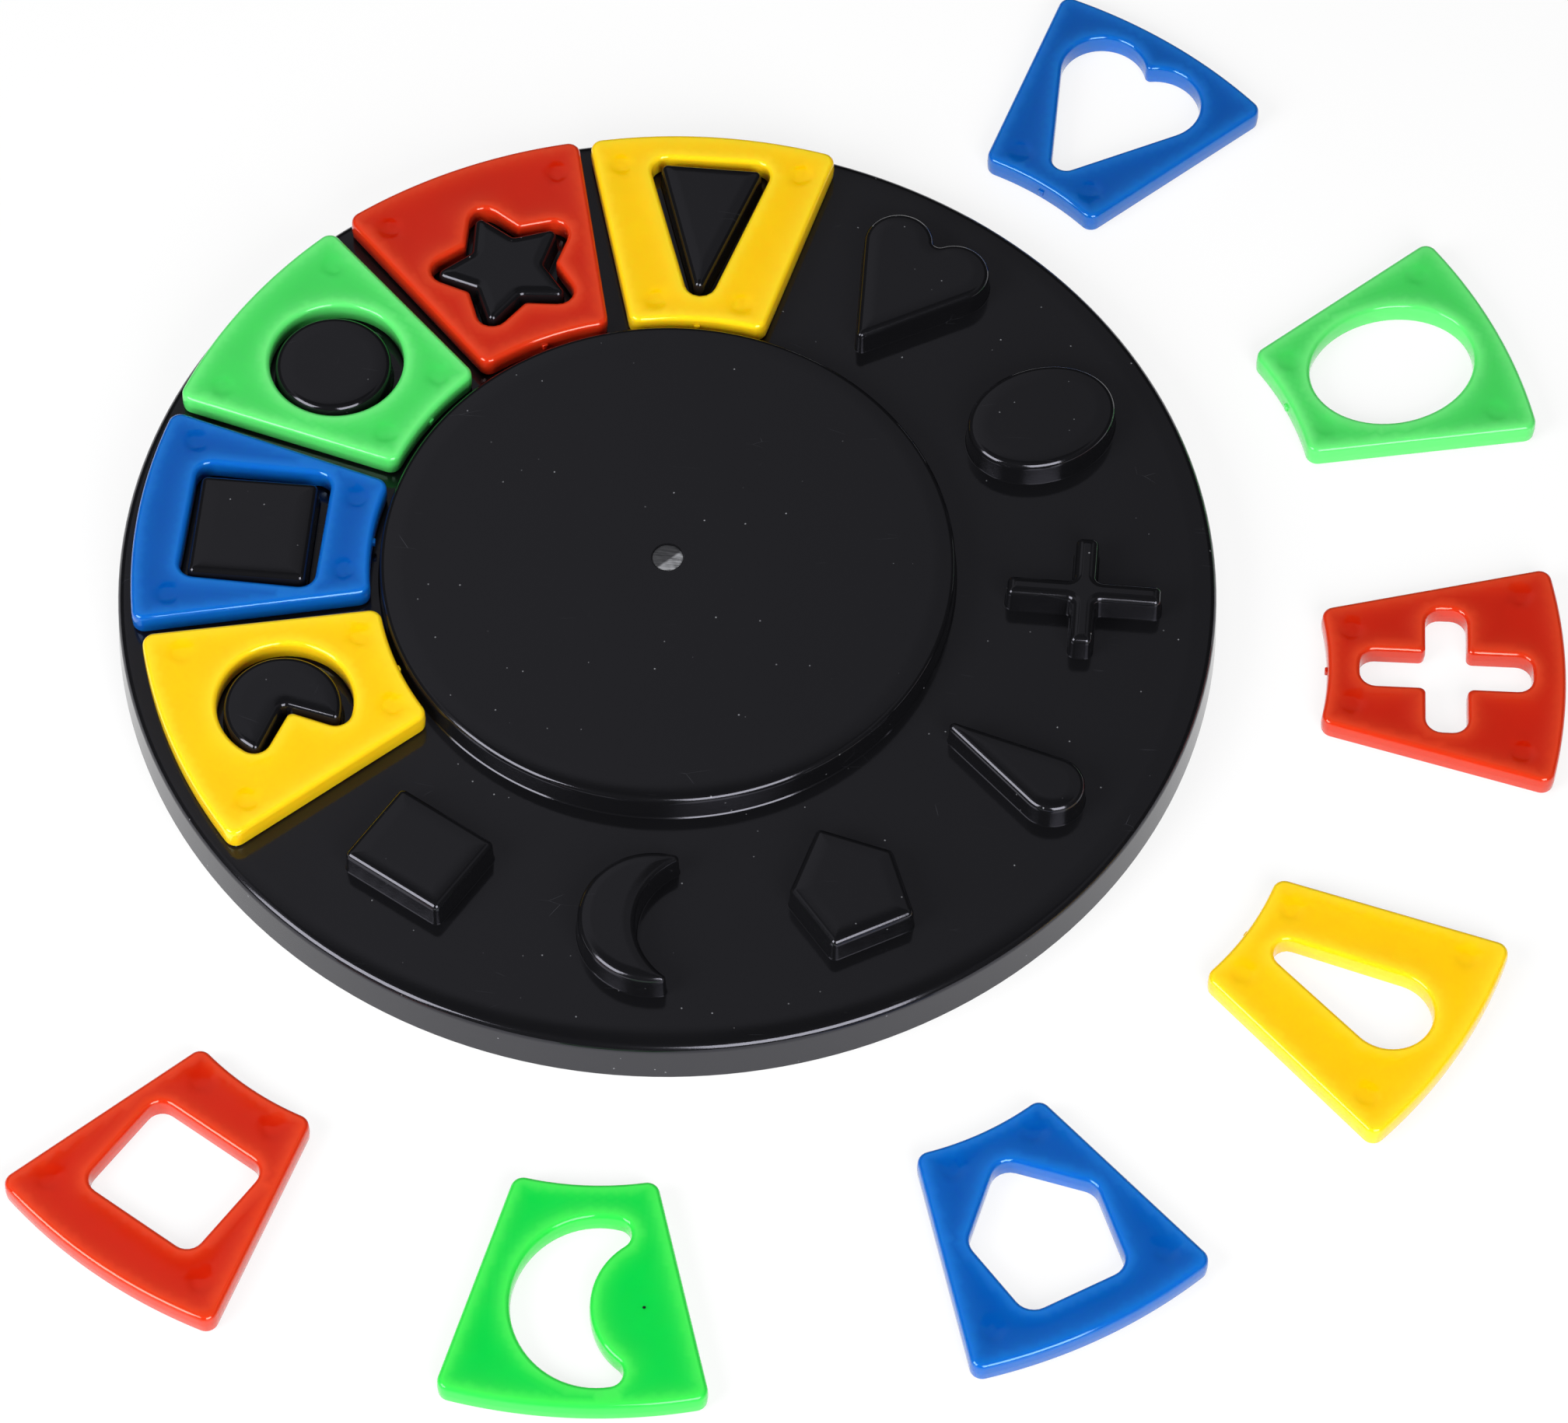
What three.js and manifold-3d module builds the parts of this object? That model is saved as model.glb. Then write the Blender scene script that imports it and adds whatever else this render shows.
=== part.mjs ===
// Shape puzzle board: a round moulded board with a raised disc and a ring of raised shape pegs,
// and the wedge tiles that drop over the pegs. Millimetres, +Z up. The origin is the centre of
// the board on the table, and the cross peg lies on +X. The board and its pegs are one moulding,
// and each peg is a mesh of its own that stands on the deck.
import * as THREE from 'three';
import { mergeVertices } from 'three/addons/utils/BufferGeometryUtils.js';
import Module from 'manifold-3d';

const wasm = await Module();
wasm.setup();

// Board: one open-bottomed moulding, stood on its skirt and on a boss under the middle.
const boardRadius = 150;
const boardHeight = 13.6;
const skirtDraft = 0.6;
const rimFillet = 2.3;
const boardWall = 2.5;
const discRadius = 78.4;
const discFillet = 1.7;
const discDraft = 0.3;
const raisedHeight = 8.2;
const bossRadius = 7;
const gateRadius = 4.4;
const gateDepth = 0.5;

// Pegs: the raised shapes, on one circle in the tiles' band, each cored from below through the deck.
const pegCircleShare = 0.498;
const pegFillet = 1.2;
const pegWall = 2.2;
const coreCorner = 0.6;
const pegRoot = 0.05;

// Tiles: ring sectors with rounded corners, one hole each.
const tileThickness = 7;
const tileDiscGap = 2.8;
const tileRimInset = 3.7;
const tileSideGap = 2.5;
const tileCorner = 3.5;
const tileFillet = 1.2;
const tileSideLand = 4;
const tileEndLand = 6;
const holeClearance = 2.3;
const pentagonClearance = 3.3;
const crescentHoleShift = -1.7;
const crescentHoleOut = 1.85;
const crescentHoleStretchShare = 1.08;
const seatGap = 0.3;

// Peg outlines, x outwards from the board's centre, y round the ring. Their plan sizes are shares of
// the peg reach, the circle about a peg's middle whose hole leaves the tile its lands.
const triangleLengthShare = 2.2759;
const triangleBaseShare = 1.4558;
const heartLengthShare = 2.1255;
const heartLobeShare = 0.4804;
const heartSpreadShare = 0.4562;
const ellipseLengthShare = 2.077;
const ellipseWidthShare = 1.6257;
const crossLengthShare = 2.0527;
const crossWidthShare = 1.6887;
const dropLengthShare = 2.0381;
const dropEndShare = 0.4367;
const pentagonLengthShare = 1.7227;
const pentagonShiftShare = -0.0534;
const pentagonShoulderShare = 1.4849;
const pentagonBaseShare = 1.1647;
const crescentOuterShare = 0.9803;
const crescentInnerShare = 1.0288;
const crescentOffsetShare = 0.8104;
const crescentShiftShare = 0.33;
const rectangleLengthShare = 1.2714;
const rectangleWidthShare = 1.5043;
const notchedRadiusShare = 0.7764;
const squareSideShare = 1.5771;
const circleRadiusShare = 0.7861;
const starOuterShare = 1.0094;
const starInnerShare = 0.5338;
const starShiftShare = -0.2232;
const triangleInnerShare = 0.545;
const pentagonShoulderPlaceShare = 0.42;
const crossArm = 6.5;
const notchAngle = 95;
const heartTip = 1.5;
const dropTip = 1.6;
const crescentHorn = 1.35;
const cornerRadius = 1.5;
const notchRadius = 1.6;

const sectorCount = 12;
const ringFacets = 72;
const chordGap = 0.13;
const filletSteps = 2;
const overrun = 1;
const deg = THREE.MathUtils.degToRad;
const sector = 2 * Math.PI / sectorCount;
const raisedTop = boardHeight + raisedHeight;
const deckUnder = boardHeight - boardWall;
const tileInner = discRadius + tileDiscGap;
const tileOuter = boardRadius - tileRimInset;
const pegCircle = tileInner + pegCircleShare * (tileOuter - tileInner);
const sideReach = pegCircle * Math.sin(sector / 2) - tileSideGap - tileSideLand;
const endReach = (tileOuter - tileInner) / 2 - tileEndLand;
const pegReach = Math.min(sideReach, endReach) - holeClearance;
const sized = (share) => share * pegReach;

const yellow = 0xfccd12;
const blue = 0x0166bb;
const green = 0x3dd25c;
const lightGreen = 0x19d94b;
const red = 0xc8351a;
const black = 0x141414;

// Where the tiles lie. Those on the board sit over their pegs with a little play, given as shares
// of the clearance outwards, round the ring, and turned at the peg reach. The others lie on the
// table, at a distance from the board's centre given as a share of its radius, with a bearing and
// a turn in degrees.
const tiles = [
  { name: 'triangle', sectorIndex: 3, seatShares: [0.04, -0.05], turnShare: 0.141, colour: yellow },
  { name: 'heart', sectorIndex: 2, awayShare: 0.6244, bearing: 57.37, turn: -1.77, colour: blue },
  { name: 'ellipse', sectorIndex: 1, awayShare: 0.6871, bearing: 23.39, turn: -2.27, colour: green },
  { name: 'cross', sectorIndex: 0, awayShare: 0.6716, bearing: -6.73, turn: 2.13, colour: red },
  { name: 'teardrop', sectorIndex: 11, awayShare: 0.7177, bearing: -31.15, turn: 1.1, colour: yellow },
  {
    name: 'pentagon', sectorIndex: 10, awayShare: 0.7209, bearing: -60.25, turn: 2.37, colour: blue,
    clearance: pentagonClearance,
  },
  {
    name: 'crescent', sectorIndex: 9, awayShare: 0.7083, bearing: -93.98, turn: 2.43, colour: lightGreen,
    holeShift: [crescentHoleOut, crescentHoleShift], stretchShare: crescentHoleStretchShare,
  },
  { name: 'rectangle', sectorIndex: 8, awayShare: 0.7315, bearing: -117.68, turn: -1.5, colour: red },
  { name: 'notched_disc', sectorIndex: 7, seatShares: [-0.5, -0.56], turnShare: -0.375, colour: yellow },
  { name: 'square', sectorIndex: 6, seatShares: [-0.17, -0.68], turnShare: -0.234, colour: blue },
  { name: 'circle', sectorIndex: 5, seatShares: [0.15, -0.8], turnShare: 0, colour: green },
  { name: 'star', sectorIndex: 4, seatShares: [0.29, -0.4], turnShare: -0.28, colour: red },
];

// Steps that keep an arc's chords within the chord gap of it.
function arcSteps(radius, sweep) {
  const step = 2 * Math.acos(1 - Math.min(chordGap / radius, 1));
  return Math.max(2, Math.ceil(Math.abs(sweep) / step));
}

// Points of an arc from one angle to another, as [x, y].
function arc(x, y, radius, from, to) {
  const steps = arcSteps(radius, to - from);
  return Array.from({ length: steps + 1 }, (_, i) => {
    const a = from + (to - from) * i / steps;
    return [x + radius * Math.cos(a), y + radius * Math.sin(a)];
  });
}

// Where two lines meet, each given by a point and a direction.
function meet(p, d, q, e) {
  const t = ((q[0] - p[0]) * e[1] - (q[1] - p[1]) * e[0]) / (d[0] * e[1] - d[1] * e[0]);
  return [p[0] + d[0] * t, p[1] + d[1] * t];
}

// A polygon, counterclockwise, moved out by grow, with its outer and inner corners rounded.
function roundedPolygon(corners, grow) {
  const count = corners.length;
  const sides = corners.map((p, i) => {
    const q = corners[(i + 1) % count];
    const length = Math.hypot(q[0] - p[0], q[1] - p[1]);
    const d = [(q[0] - p[0]) / length, (q[1] - p[1]) / length];
    return { p: [p[0] + d[1] * grow, p[1] - d[0] * grow], d };
  });
  return sides.flatMap((side, i) => {
    const before = sides[(i + count - 1) % count];
    const corner = meet(before.p, before.d, side.p, side.d);
    const bend = before.d[0] * side.d[1] - before.d[1] * side.d[0];
    const convex = bend > 0;
    const radius = convex ? Math.max(cornerRadius + grow, coreCorner) : notchAt(grow);
    const half = Math.acos(before.d[0] * side.d[0] + before.d[1] * side.d[1]) / 2;
    const back = radius * Math.tan(half);
    const turn = convex ? 1 : -1;
    const x = corner[0] - before.d[0] * back - before.d[1] * radius * turn;
    const y = corner[1] - before.d[1] * back + before.d[0] * radius * turn;
    const from = Math.atan2(-before.d[0] * turn, before.d[1] * turn);
    return arc(x, y, radius, from, from + 2 * half * turn);
  });
}

// The radius of an inner corner's fillet, which widens as the outline shrinks.
const notchAt = (grow) => notchRadius + Math.max(-grow, 0);

const mirrored = (points) => [...points, ...points.map(([x, y]) => [x, -y]).reverse()];
const box = (length, width) => mirrored([[-length / 2, -width / 2], [length / 2, -width / 2]]);

const outlines = {
  triangle(grow) {
    const wide = sized(triangleBaseShare) / 2;
    const tip = -sized(triangleLengthShare) * triangleInnerShare;
    const base = tip + sized(triangleLengthShare);
    return roundedPolygon([[tip, 0], [base, -wide], [base, wide]], grow);
  },

  heart(grow) {
    const spread = sized(heartSpreadShare);
    const lobeX = sized(heartLengthShare) / 2 - sized(heartLobeShare);
    const tipX = heartTip - sized(heartLengthShare) / 2;
    const span = Math.hypot(lobeX - tipX, spread);
    const narrowing = Math.asin((sized(heartLobeShare) - heartTip) / span);
    const slope = Math.atan2(spread, lobeX - tipX) + narrowing;
    const tip = Math.max(heartTip + grow, coreCorner);
    const lobe = sized(heartLobeShare) + grow;
    const side = spread * Math.cos(slope) - lobeX * Math.sin(slope) + lobe;
    const tipCentre = (tip - side) / Math.sin(slope);
    const notch = notchAt(grow);
    const dip = lobeX + Math.sqrt((lobe + notch) ** 2 - spread ** 2);
    const lean = Math.atan2(spread, dip - lobeX);
    const upper = [
      ...arc(dip, 0, notch, Math.PI, Math.PI - lean).slice(1),
      ...arc(lobeX, spread, lobe, -lean, Math.PI / 2 + slope).slice(1),
      ...arc(tipCentre, 0, tip, Math.PI / 2 + slope, Math.PI).slice(0, -1),
    ];
    const lower = upper.map(([x, y]) => [x, -y]).reverse();
    return [[dip - notch, 0], ...upper, [tipCentre - tip, 0], ...lower];
  },

  ellipse(grow) {
    const long = sized(ellipseLengthShare) / 2;
    const wide = sized(ellipseWidthShare) / 2;
    return arc(0, 0, long, 0, 2 * Math.PI).slice(1).map(([x, y]) => {
      const c = x / long;
      const s = y / long;
      const normal = Math.hypot(wide * c, long * s);
      return [c * (long + grow * wide / normal), s * (wide + grow * long / normal)];
    });
  },

  cross(grow) {
    const a = crossArm / 2;
    const long = sized(crossLengthShare) / 2;
    const wide = sized(crossWidthShare) / 2;
    const lower = [[-long, -a], [-a, -a], [-a, -wide], [a, -wide], [a, -a], [long, -a]];
    return roundedPolygon(mirrored(lower), grow);
  },

  teardrop(grow) {
    const length = sized(dropLengthShare);
    const widest = sized(dropEndShare);
    const endX = length / 2 - widest;
    const spread = (widest - dropTip) / (length - widest - dropTip);
    const end = widest + grow;
    const tip = Math.max(dropTip + grow, coreCorner);
    const side = Math.PI / 2 + Math.asin(spread);
    const tipX = endX - (end - tip) / spread;
    return [...arc(endX, 0, end, -side, side), ...arc(tipX, 0, tip, side, 2 * Math.PI - side)];
  },

  pentagon(grow) {
    const tip = sized(pentagonShiftShare) - sized(pentagonLengthShare) / 2;
    const shoulder = tip + sized(pentagonLengthShare) * pentagonShoulderPlaceShare;
    const base = tip + sized(pentagonLengthShare);
    const lower = [[shoulder, -sized(pentagonShoulderShare) / 2], [base, -sized(pentagonBaseShare) / 2]];
    return roundedPolygon([[tip, 0], ...mirrored(lower)], grow);
  },

  crescent(grow) {
    const offset = sized(crescentOffsetShare);
    const outer = sized(crescentOuterShare) + grow;
    const inner = sized(crescentInnerShare) - grow;
    const horn = Math.max(crescentHorn + grow, coreCorner);
    const far = outer - horn;
    const near = inner + horn;
    const y = (far ** 2 - near ** 2 + offset ** 2) / (2 * offset);
    const x = Math.sqrt(far ** 2 - y ** 2);
    const outside = Math.atan2(y, x);
    const inside = Math.atan2(y - offset, x);
    const right = arc(x, y, horn, outside, inside + Math.PI);
    const left = right.map(([a, b]) => [-a, b]).reverse();
    const hollow = arc(0, offset, inner, inside, -Math.PI - inside).slice(1, -1);
    const rim = arc(0, 0, outer, -Math.PI - outside, outside).slice(1, -1);
    return [...right, ...hollow, ...left, ...rim].map(([a, b]) => [a, b + sized(crescentShiftShare)]);
  },

  rectangle(grow) {
    return roundedPolygon(box(sized(rectangleLengthShare), sized(rectangleWidthShare)), grow);
  },

  notched_disc(grow) {
    const radius = sized(notchedRadiusShare) + grow;
    const corner = Math.max(cornerRadius + grow, coreCorner);
    const half = deg(notchAngle / 2);
    const notch = notchAt(grow);
    const lift = (notch + grow) / Math.sin(half);
    const inset = corner - grow;
    const out = Math.sqrt((radius - corner) ** 2 - inset ** 2);
    const x = out * Math.sin(half) + inset * Math.cos(half);
    const y = out * Math.cos(half) - inset * Math.sin(half);
    const right = arc(x, y, corner, Math.atan2(y, x), Math.PI - half);
    const left = right.map(([a, b]) => [-a, b]).reverse();
    const apex = arc(0, lift, notch, -half, half - Math.PI);
    const rim = arc(0, 0, radius, -Math.PI - Math.atan2(y, x), Math.atan2(y, x)).slice(1, -1);
    return [...right, ...apex, ...left, ...rim];
  },

  square(grow) {
    return roundedPolygon(box(sized(squareSideShare), sized(squareSideShare)), grow);
  },

  circle(grow) {
    return arc(0, 0, sized(circleRadiusShare) + grow, 0, 2 * Math.PI).slice(1);
  },

  star(grow) {
    const points = 5;
    const corners = Array.from({ length: 2 * points }, (_, i) => {
      const radius = sized(i % 2 ? starInnerShare : starOuterShare);
      const a = Math.PI * i / points;
      return [sized(starShiftShare) + radius * Math.cos(a), radius * Math.sin(a)];
    });
    return roundedPolygon(corners, grow);
  },
};

// The tile's outline about the board's centre, its middle on +X: two arcs and two slanted sides.
function tileOutline() {
  const half = sector / 2;
  const across = tileSideGap + tileCorner;
  const cornerAt = (radius) => {
    const along = Math.sqrt(radius ** 2 - across ** 2);
    return [
      along * Math.cos(half) + across * Math.sin(half),
      along * Math.sin(half) - across * Math.cos(half),
    ];
  };
  const outer = cornerAt(tileOuter - tileCorner);
  const inner = cornerAt(tileInner + tileCorner);
  const outerAngle = Math.atan2(outer[1], outer[0]);
  const innerAngle = Math.atan2(inner[1], inner[0]);
  const side = Math.PI / 2 + half;
  return [
    ...arc(...outer, tileCorner, outerAngle, side),
    ...arc(...inner, tileCorner, side, Math.PI + innerAngle),
    ...fineArc(tileInner, innerAngle, -innerAngle).slice(1, -1),
    ...arc(inner[0], -inner[1], tileCorner, Math.PI - innerAngle, 2 * Math.PI - side),
    ...arc(outer[0], -outer[1], tileCorner, -side, -outerAngle),
    ...fineArc(tileOuter, -outerAngle, outerAngle).slice(1, -1),
  ];
}

// An arc about the board's centre, as fine as the board's own facets.
function fineArc(radius, from, to) {
  const steps = Math.round(Math.abs(to - from) / (2 * Math.PI) * ringFacets);
  return Array.from({ length: steps + 1 }, (_, i) => {
    const a = from + (to - from) * i / steps;
    return [radius * Math.cos(a), radius * Math.sin(a)];
  });
}

const path = (points) => points.map(([x, y]) => new THREE.Vector2(x, y));

// A plate between two heights with rounded top and bottom edges, cut by any holes.
function plate(outline, bottom, top, fillet, holes = []) {
  const shape = new THREE.Shape(path(outline));
  shape.holes = holes.map((hole) => new THREE.Path(path(hole)));
  const geometry = new THREE.ExtrudeGeometry(shape, {
    depth: top - bottom - 2 * fillet,
    bevelEnabled: fillet > 0,
    bevelThickness: fillet,
    bevelSize: fillet,
    bevelOffset: -fillet,
    bevelSegments: filletSteps,
  });
  return geometry.translate(0, 0, bottom + fillet);
}

function merged(geometry) {
  geometry.deleteAttribute('normal');
  geometry.deleteAttribute('uv');
  return mergeVertices(geometry);
}

function solid(geometry) {
  const mesh = merged(geometry);
  const vertProperties = new Float32Array(mesh.attributes.position.array);
  const triVerts = new Uint32Array(mesh.index.array);
  return new wasm.Manifold(new wasm.Mesh({ numProp: 3, vertProperties, triVerts }));
}

function geometryOf(manifold) {
  const mesh = manifold.getMesh();
  const geometry = new THREE.BufferGeometry();
  geometry.setAttribute('position', new THREE.BufferAttribute(mesh.vertProperties, 3));
  geometry.setIndex(new THREE.BufferAttribute(mesh.triVerts, 1));
  return geometry;
}

// A quarter-round edge in a turned profile, from the top face down to the side.
function turnedEdge(radius, top, fillet) {
  return Array.from({ length: filletSteps + 1 }, (_, i) => {
    const a = Math.PI / 2 * (1 - i / filletSteps);
    return [radius - fillet + fillet * Math.cos(a), top - fillet + fillet * Math.sin(a)];
  });
}

const pegCore = (name) => plate(outlines[name](-pegWall), deckUnder - overrun, raisedTop - pegWall, 0);

function boardGeometry() {
  const skirtRadius = boardRadius + skirtDraft;
  const profile = [
    [0, 0],
    [bossRadius, 0],
    [bossRadius, raisedTop - boardWall],
    [discRadius - boardWall, raisedTop - boardWall],
    [discRadius - boardWall, deckUnder],
    [boardRadius - boardWall, deckUnder],
    [skirtRadius - boardWall, 0],
    [skirtRadius, 0],
    ...turnedEdge(boardRadius, boardHeight, rimFillet).reverse(),
    [discRadius + discDraft, boardHeight],
    ...turnedEdge(discRadius, raisedTop, discFillet).reverse(),
    [gateRadius, raisedTop],
    [gateRadius - gateDepth, raisedTop - gateDepth],
    [0, raisedTop - gateDepth],
  ];
  let board = solid(new THREE.LatheGeometry(path(profile), ringFacets).rotateX(Math.PI / 2));
  for (const { name, sectorIndex } of tiles) {
    const core = pegCore(name).translate(pegCircle, 0, 0).rotateZ(sectorIndex * sector);
    board = board.subtract(solid(core));
  }
  return geometryOf(board);
}

// A peg about its own middle, cut off level with the deck.
function pegGeometry(name) {
  const root = boardHeight - pegFillet - pegRoot;
  const span = tileOuter - tileInner;
  const under = new THREE.BoxGeometry(span, span, 2 * boardHeight);
  const peg = solid(plate(outlines[name](0), root, raisedTop, pegFillet));
  return geometryOf(peg.subtract(solid(under)).subtract(solid(pegCore(name))));
}

// A tile in its own frame, with the arcs' centre at the origin and its middle on +X.
function tileGeometry({ name, clearance = holeClearance, holeShift = [0, 0], stretchShare = 1 }) {
  const middle = pegCircle + holeShift[0];
  const hole = outlines[name](clearance).map(([x, y]) => [x * stretchShare + middle, y + holeShift[1]]);
  return merged(plate(tileOutline(), 0, tileThickness, tileFillet, [hole]));
}

function place(mesh, tile) {
  const axis = tile.sectorIndex * sector;
  const turn = tile.seatShares ? tile.turnShare * holeClearance / pegReach : deg(tile.turn);
  mesh.rotation.z = axis + turn;
  if (tile.seatShares) {
    const out = pegCircle + holeClearance * tile.seatShares[0] - pegCircle * Math.cos(turn);
    const round = holeClearance * tile.seatShares[1] - pegCircle * Math.sin(turn);
    mesh.position.x = out * Math.cos(axis) - round * Math.sin(axis);
    mesh.position.y = out * Math.sin(axis) + round * Math.cos(axis);
    mesh.position.z = boardHeight + seatGap;
  } else {
    const away = boardRadius * tile.awayShare;
    mesh.position.set(away * Math.cos(deg(tile.bearing)), away * Math.sin(deg(tile.bearing)), 0);
  }
}

function plastic(colour, roughness) {
  return new THREE.MeshStandardMaterial({ color: colour, roughness, metalness: 0 });
}

const model = new THREE.Group();
const board = new THREE.Mesh(boardGeometry(), plastic(black, 0.15));
board.name = 'board';
model.add(board);
for (const { name, sectorIndex } of tiles) {
  const mesh = new THREE.Mesh(pegGeometry(name), plastic(black, 0.15));
  mesh.name = `peg_${name}`;
  mesh.rotation.z = sectorIndex * sector;
  mesh.position.set(pegCircle * Math.cos(mesh.rotation.z), pegCircle * Math.sin(mesh.rotation.z), 0);
  model.add(mesh);
}
for (const tile of tiles) {
  const mesh = new THREE.Mesh(tileGeometry(tile), plastic(tile.colour, 0.25));
  mesh.name = `tile_${tile.name}`;
  place(mesh, tile);
  model.add(mesh);
}

export default model;
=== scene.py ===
import math

import bpy
import numpy as np
from mathutils import Matrix, Vector, noise
from mathutils.geometry import delaunay_2d_cdt


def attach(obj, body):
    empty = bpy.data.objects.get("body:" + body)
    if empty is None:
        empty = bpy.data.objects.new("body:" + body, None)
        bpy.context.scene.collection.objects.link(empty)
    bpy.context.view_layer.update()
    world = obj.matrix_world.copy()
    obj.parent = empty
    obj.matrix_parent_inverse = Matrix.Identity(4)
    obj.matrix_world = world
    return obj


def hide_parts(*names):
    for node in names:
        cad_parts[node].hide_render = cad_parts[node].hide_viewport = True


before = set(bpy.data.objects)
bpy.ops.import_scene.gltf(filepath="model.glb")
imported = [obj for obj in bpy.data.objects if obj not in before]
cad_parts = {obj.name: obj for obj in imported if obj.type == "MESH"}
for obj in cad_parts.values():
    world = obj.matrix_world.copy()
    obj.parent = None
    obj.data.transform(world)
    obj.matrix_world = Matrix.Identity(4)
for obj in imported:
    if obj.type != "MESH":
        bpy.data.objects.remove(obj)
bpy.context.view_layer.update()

mm = 0.001  # lengths are in millimetres until a vertex is placed
sector = math.radians(30)  # one of the twelve
pegCircle = 113.62  # from the board's middle to the middle of every peg
weldMm = 0.002  # vertices nearer than this are one


# Small helpers for working by hand in code
def nothingSelected():
    if bpy.context.mode != "OBJECT":
        bpy.ops.object.mode_set(mode="OBJECT")
    bpy.ops.object.select_all(action="DESELECT")


def only(piece):
    nothingSelected()
    piece.select_set(True)
    bpy.context.view_layer.objects.active = piece


def joined(pieces, name):
    only(pieces[0])
    for piece in pieces[1:]:
        piece.select_set(True)
    bpy.ops.object.join()
    pieces[0].name = name
    return pieces[0]


def moveRing(piece, first, points, height):
    for i, (x, y) in enumerate(points):
        piece.data.vertices[first + i].co = (x * mm, y * mm, height * mm)


def wallOf(name, rings):
    # A circle shaped to the first ring, then extruded from ring to ring
    points, height = rings[0]
    nothingSelected()
    bpy.ops.mesh.primitive_circle_add(vertices=len(points), radius=mm)
    wall = bpy.context.object
    wall.name = name
    moveRing(wall, 0, points, height)
    for points, height in rings[1:]:
        first = len(wall.data.vertices)
        bpy.ops.object.mode_set(mode="EDIT")
        bpy.ops.mesh.extrude_edges_move()
        bpy.ops.object.mode_set(mode="OBJECT")
        moveRing(wall, first, points, height)
    return wall


def capped(wall):
    # The last ring is still selected; the first is found by its index
    count = sum(v.select for v in wall.data.vertices)
    bpy.ops.object.mode_set(mode="EDIT")
    bpy.ops.mesh.edge_face_add()
    bpy.ops.mesh.select_all(action="DESELECT")
    bpy.ops.object.mode_set(mode="OBJECT")
    for v in wall.data.vertices[:count]:
        v.select = True
    for edge in wall.data.edges:
        edge.select = all(i < count for i in edge.vertices)
    bpy.ops.object.mode_set(mode="EDIT")
    bpy.ops.mesh.edge_face_add()
    bpy.ops.object.mode_set(mode="OBJECT")
    return wall


def tidied(piece, angle=30):
    only(piece)
    bpy.ops.object.mode_set(mode="EDIT")
    bpy.ops.mesh.select_all(action="SELECT")
    bpy.ops.mesh.remove_doubles(threshold=weldMm * mm)
    bpy.ops.mesh.normals_make_consistent(inside=False)
    bpy.ops.object.mode_set(mode="OBJECT")
    bpy.ops.object.shade_smooth_by_angle(angle=math.radians(angle))
    return piece


def triangulated(piece):
    # Many-sided faces that a boolean leaves are split evenly, without slivers along their sides
    only(piece)
    bpy.ops.object.mode_set(mode="EDIT")
    bpy.ops.mesh.select_all(action="SELECT")
    bpy.ops.mesh.quads_convert_to_tris(quad_method="SHORTEST_DIAGONAL", ngon_method="BEAUTY")
    bpy.ops.object.mode_set(mode="OBJECT")


def cutOrJoined(piece, other, operation):
    only(piece)
    modifier = piece.modifiers.new("Boolean", "BOOLEAN")
    modifier.operation = operation
    modifier.solver = "EXACT"
    modifier.object = other
    bpy.ops.object.modifier_apply(modifier=modifier.name)
    bpy.data.objects.remove(other)
    return piece


def placed(points, x, y, turn):
    c, s = math.cos(turn), math.sin(turn)
    return [(x + px * c - py * s, y + px * s + py * c) for px, py in points]


# Outlines of the shapes, x outwards from the board's middle, y round the ring, moved out by grow
shapes = {
    "cornerRadius": 1.9, "notchRadius": 1.6, "leastRadius": 0.5, "pointGap": 2.4,
    "cornerSteps": 6, "tipSteps": 8, "hornSteps": 10, "lobeSteps": 28, "endSteps": 30,
    "hollowSteps": 30, "crescentSteps": 44, "notchedSteps": 48, "roundSteps": 72,
    "triangleLength": 46.9, "triangleBase": 30, "triangleInnerShare": 0.545,
    "heartLength": 43.8, "heartLobe": 9.9, "heartSpread": 9.4, "heartTip": 1.5,
    "ellipseLength": 42.8, "ellipseWidth": 33.5,
    "crossLength": 42.3, "crossWidth": 34.8, "crossArm": 6.5,
    "dropLength": 42, "dropEnd": 9, "dropTip": 1.6,
    "pentagonLength": 35.5, "pentagonShift": -1.1, "pentagonShoulder": 30.6, "pentagonBase": 24,
    "pentagonShoulderShare": 0.42,
    "crescentOuter": 20.2, "crescentInner": 21.2, "crescentOffset": 16.7, "crescentShift": 6.8,
    "crescentHorn": 1.35,
    "rectangleLength": 26.2, "rectangleWidth": 31,
    "notchedRadius": 16, "notchAngle": 95,
    "squareSide": 32.5, "circleRadius": 16.2,
    "starOuter": 20.8, "starInner": 11, "starShift": -4.6, "starPoints": 5,
}


def arcOf(x, y, radius, start, end, steps):
    angles = [start + (end - start) * i / steps for i in range(steps + 1)]
    return [(x + radius * math.cos(a), y + radius * math.sin(a)) for a in angles]


def notchAt(grow):
    return max(shapes["notchRadius"], shapes["notchRadius"] - grow)


def cornerAt(base, grow):
    return max(base + grow, shapes["leastRadius"])


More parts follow.
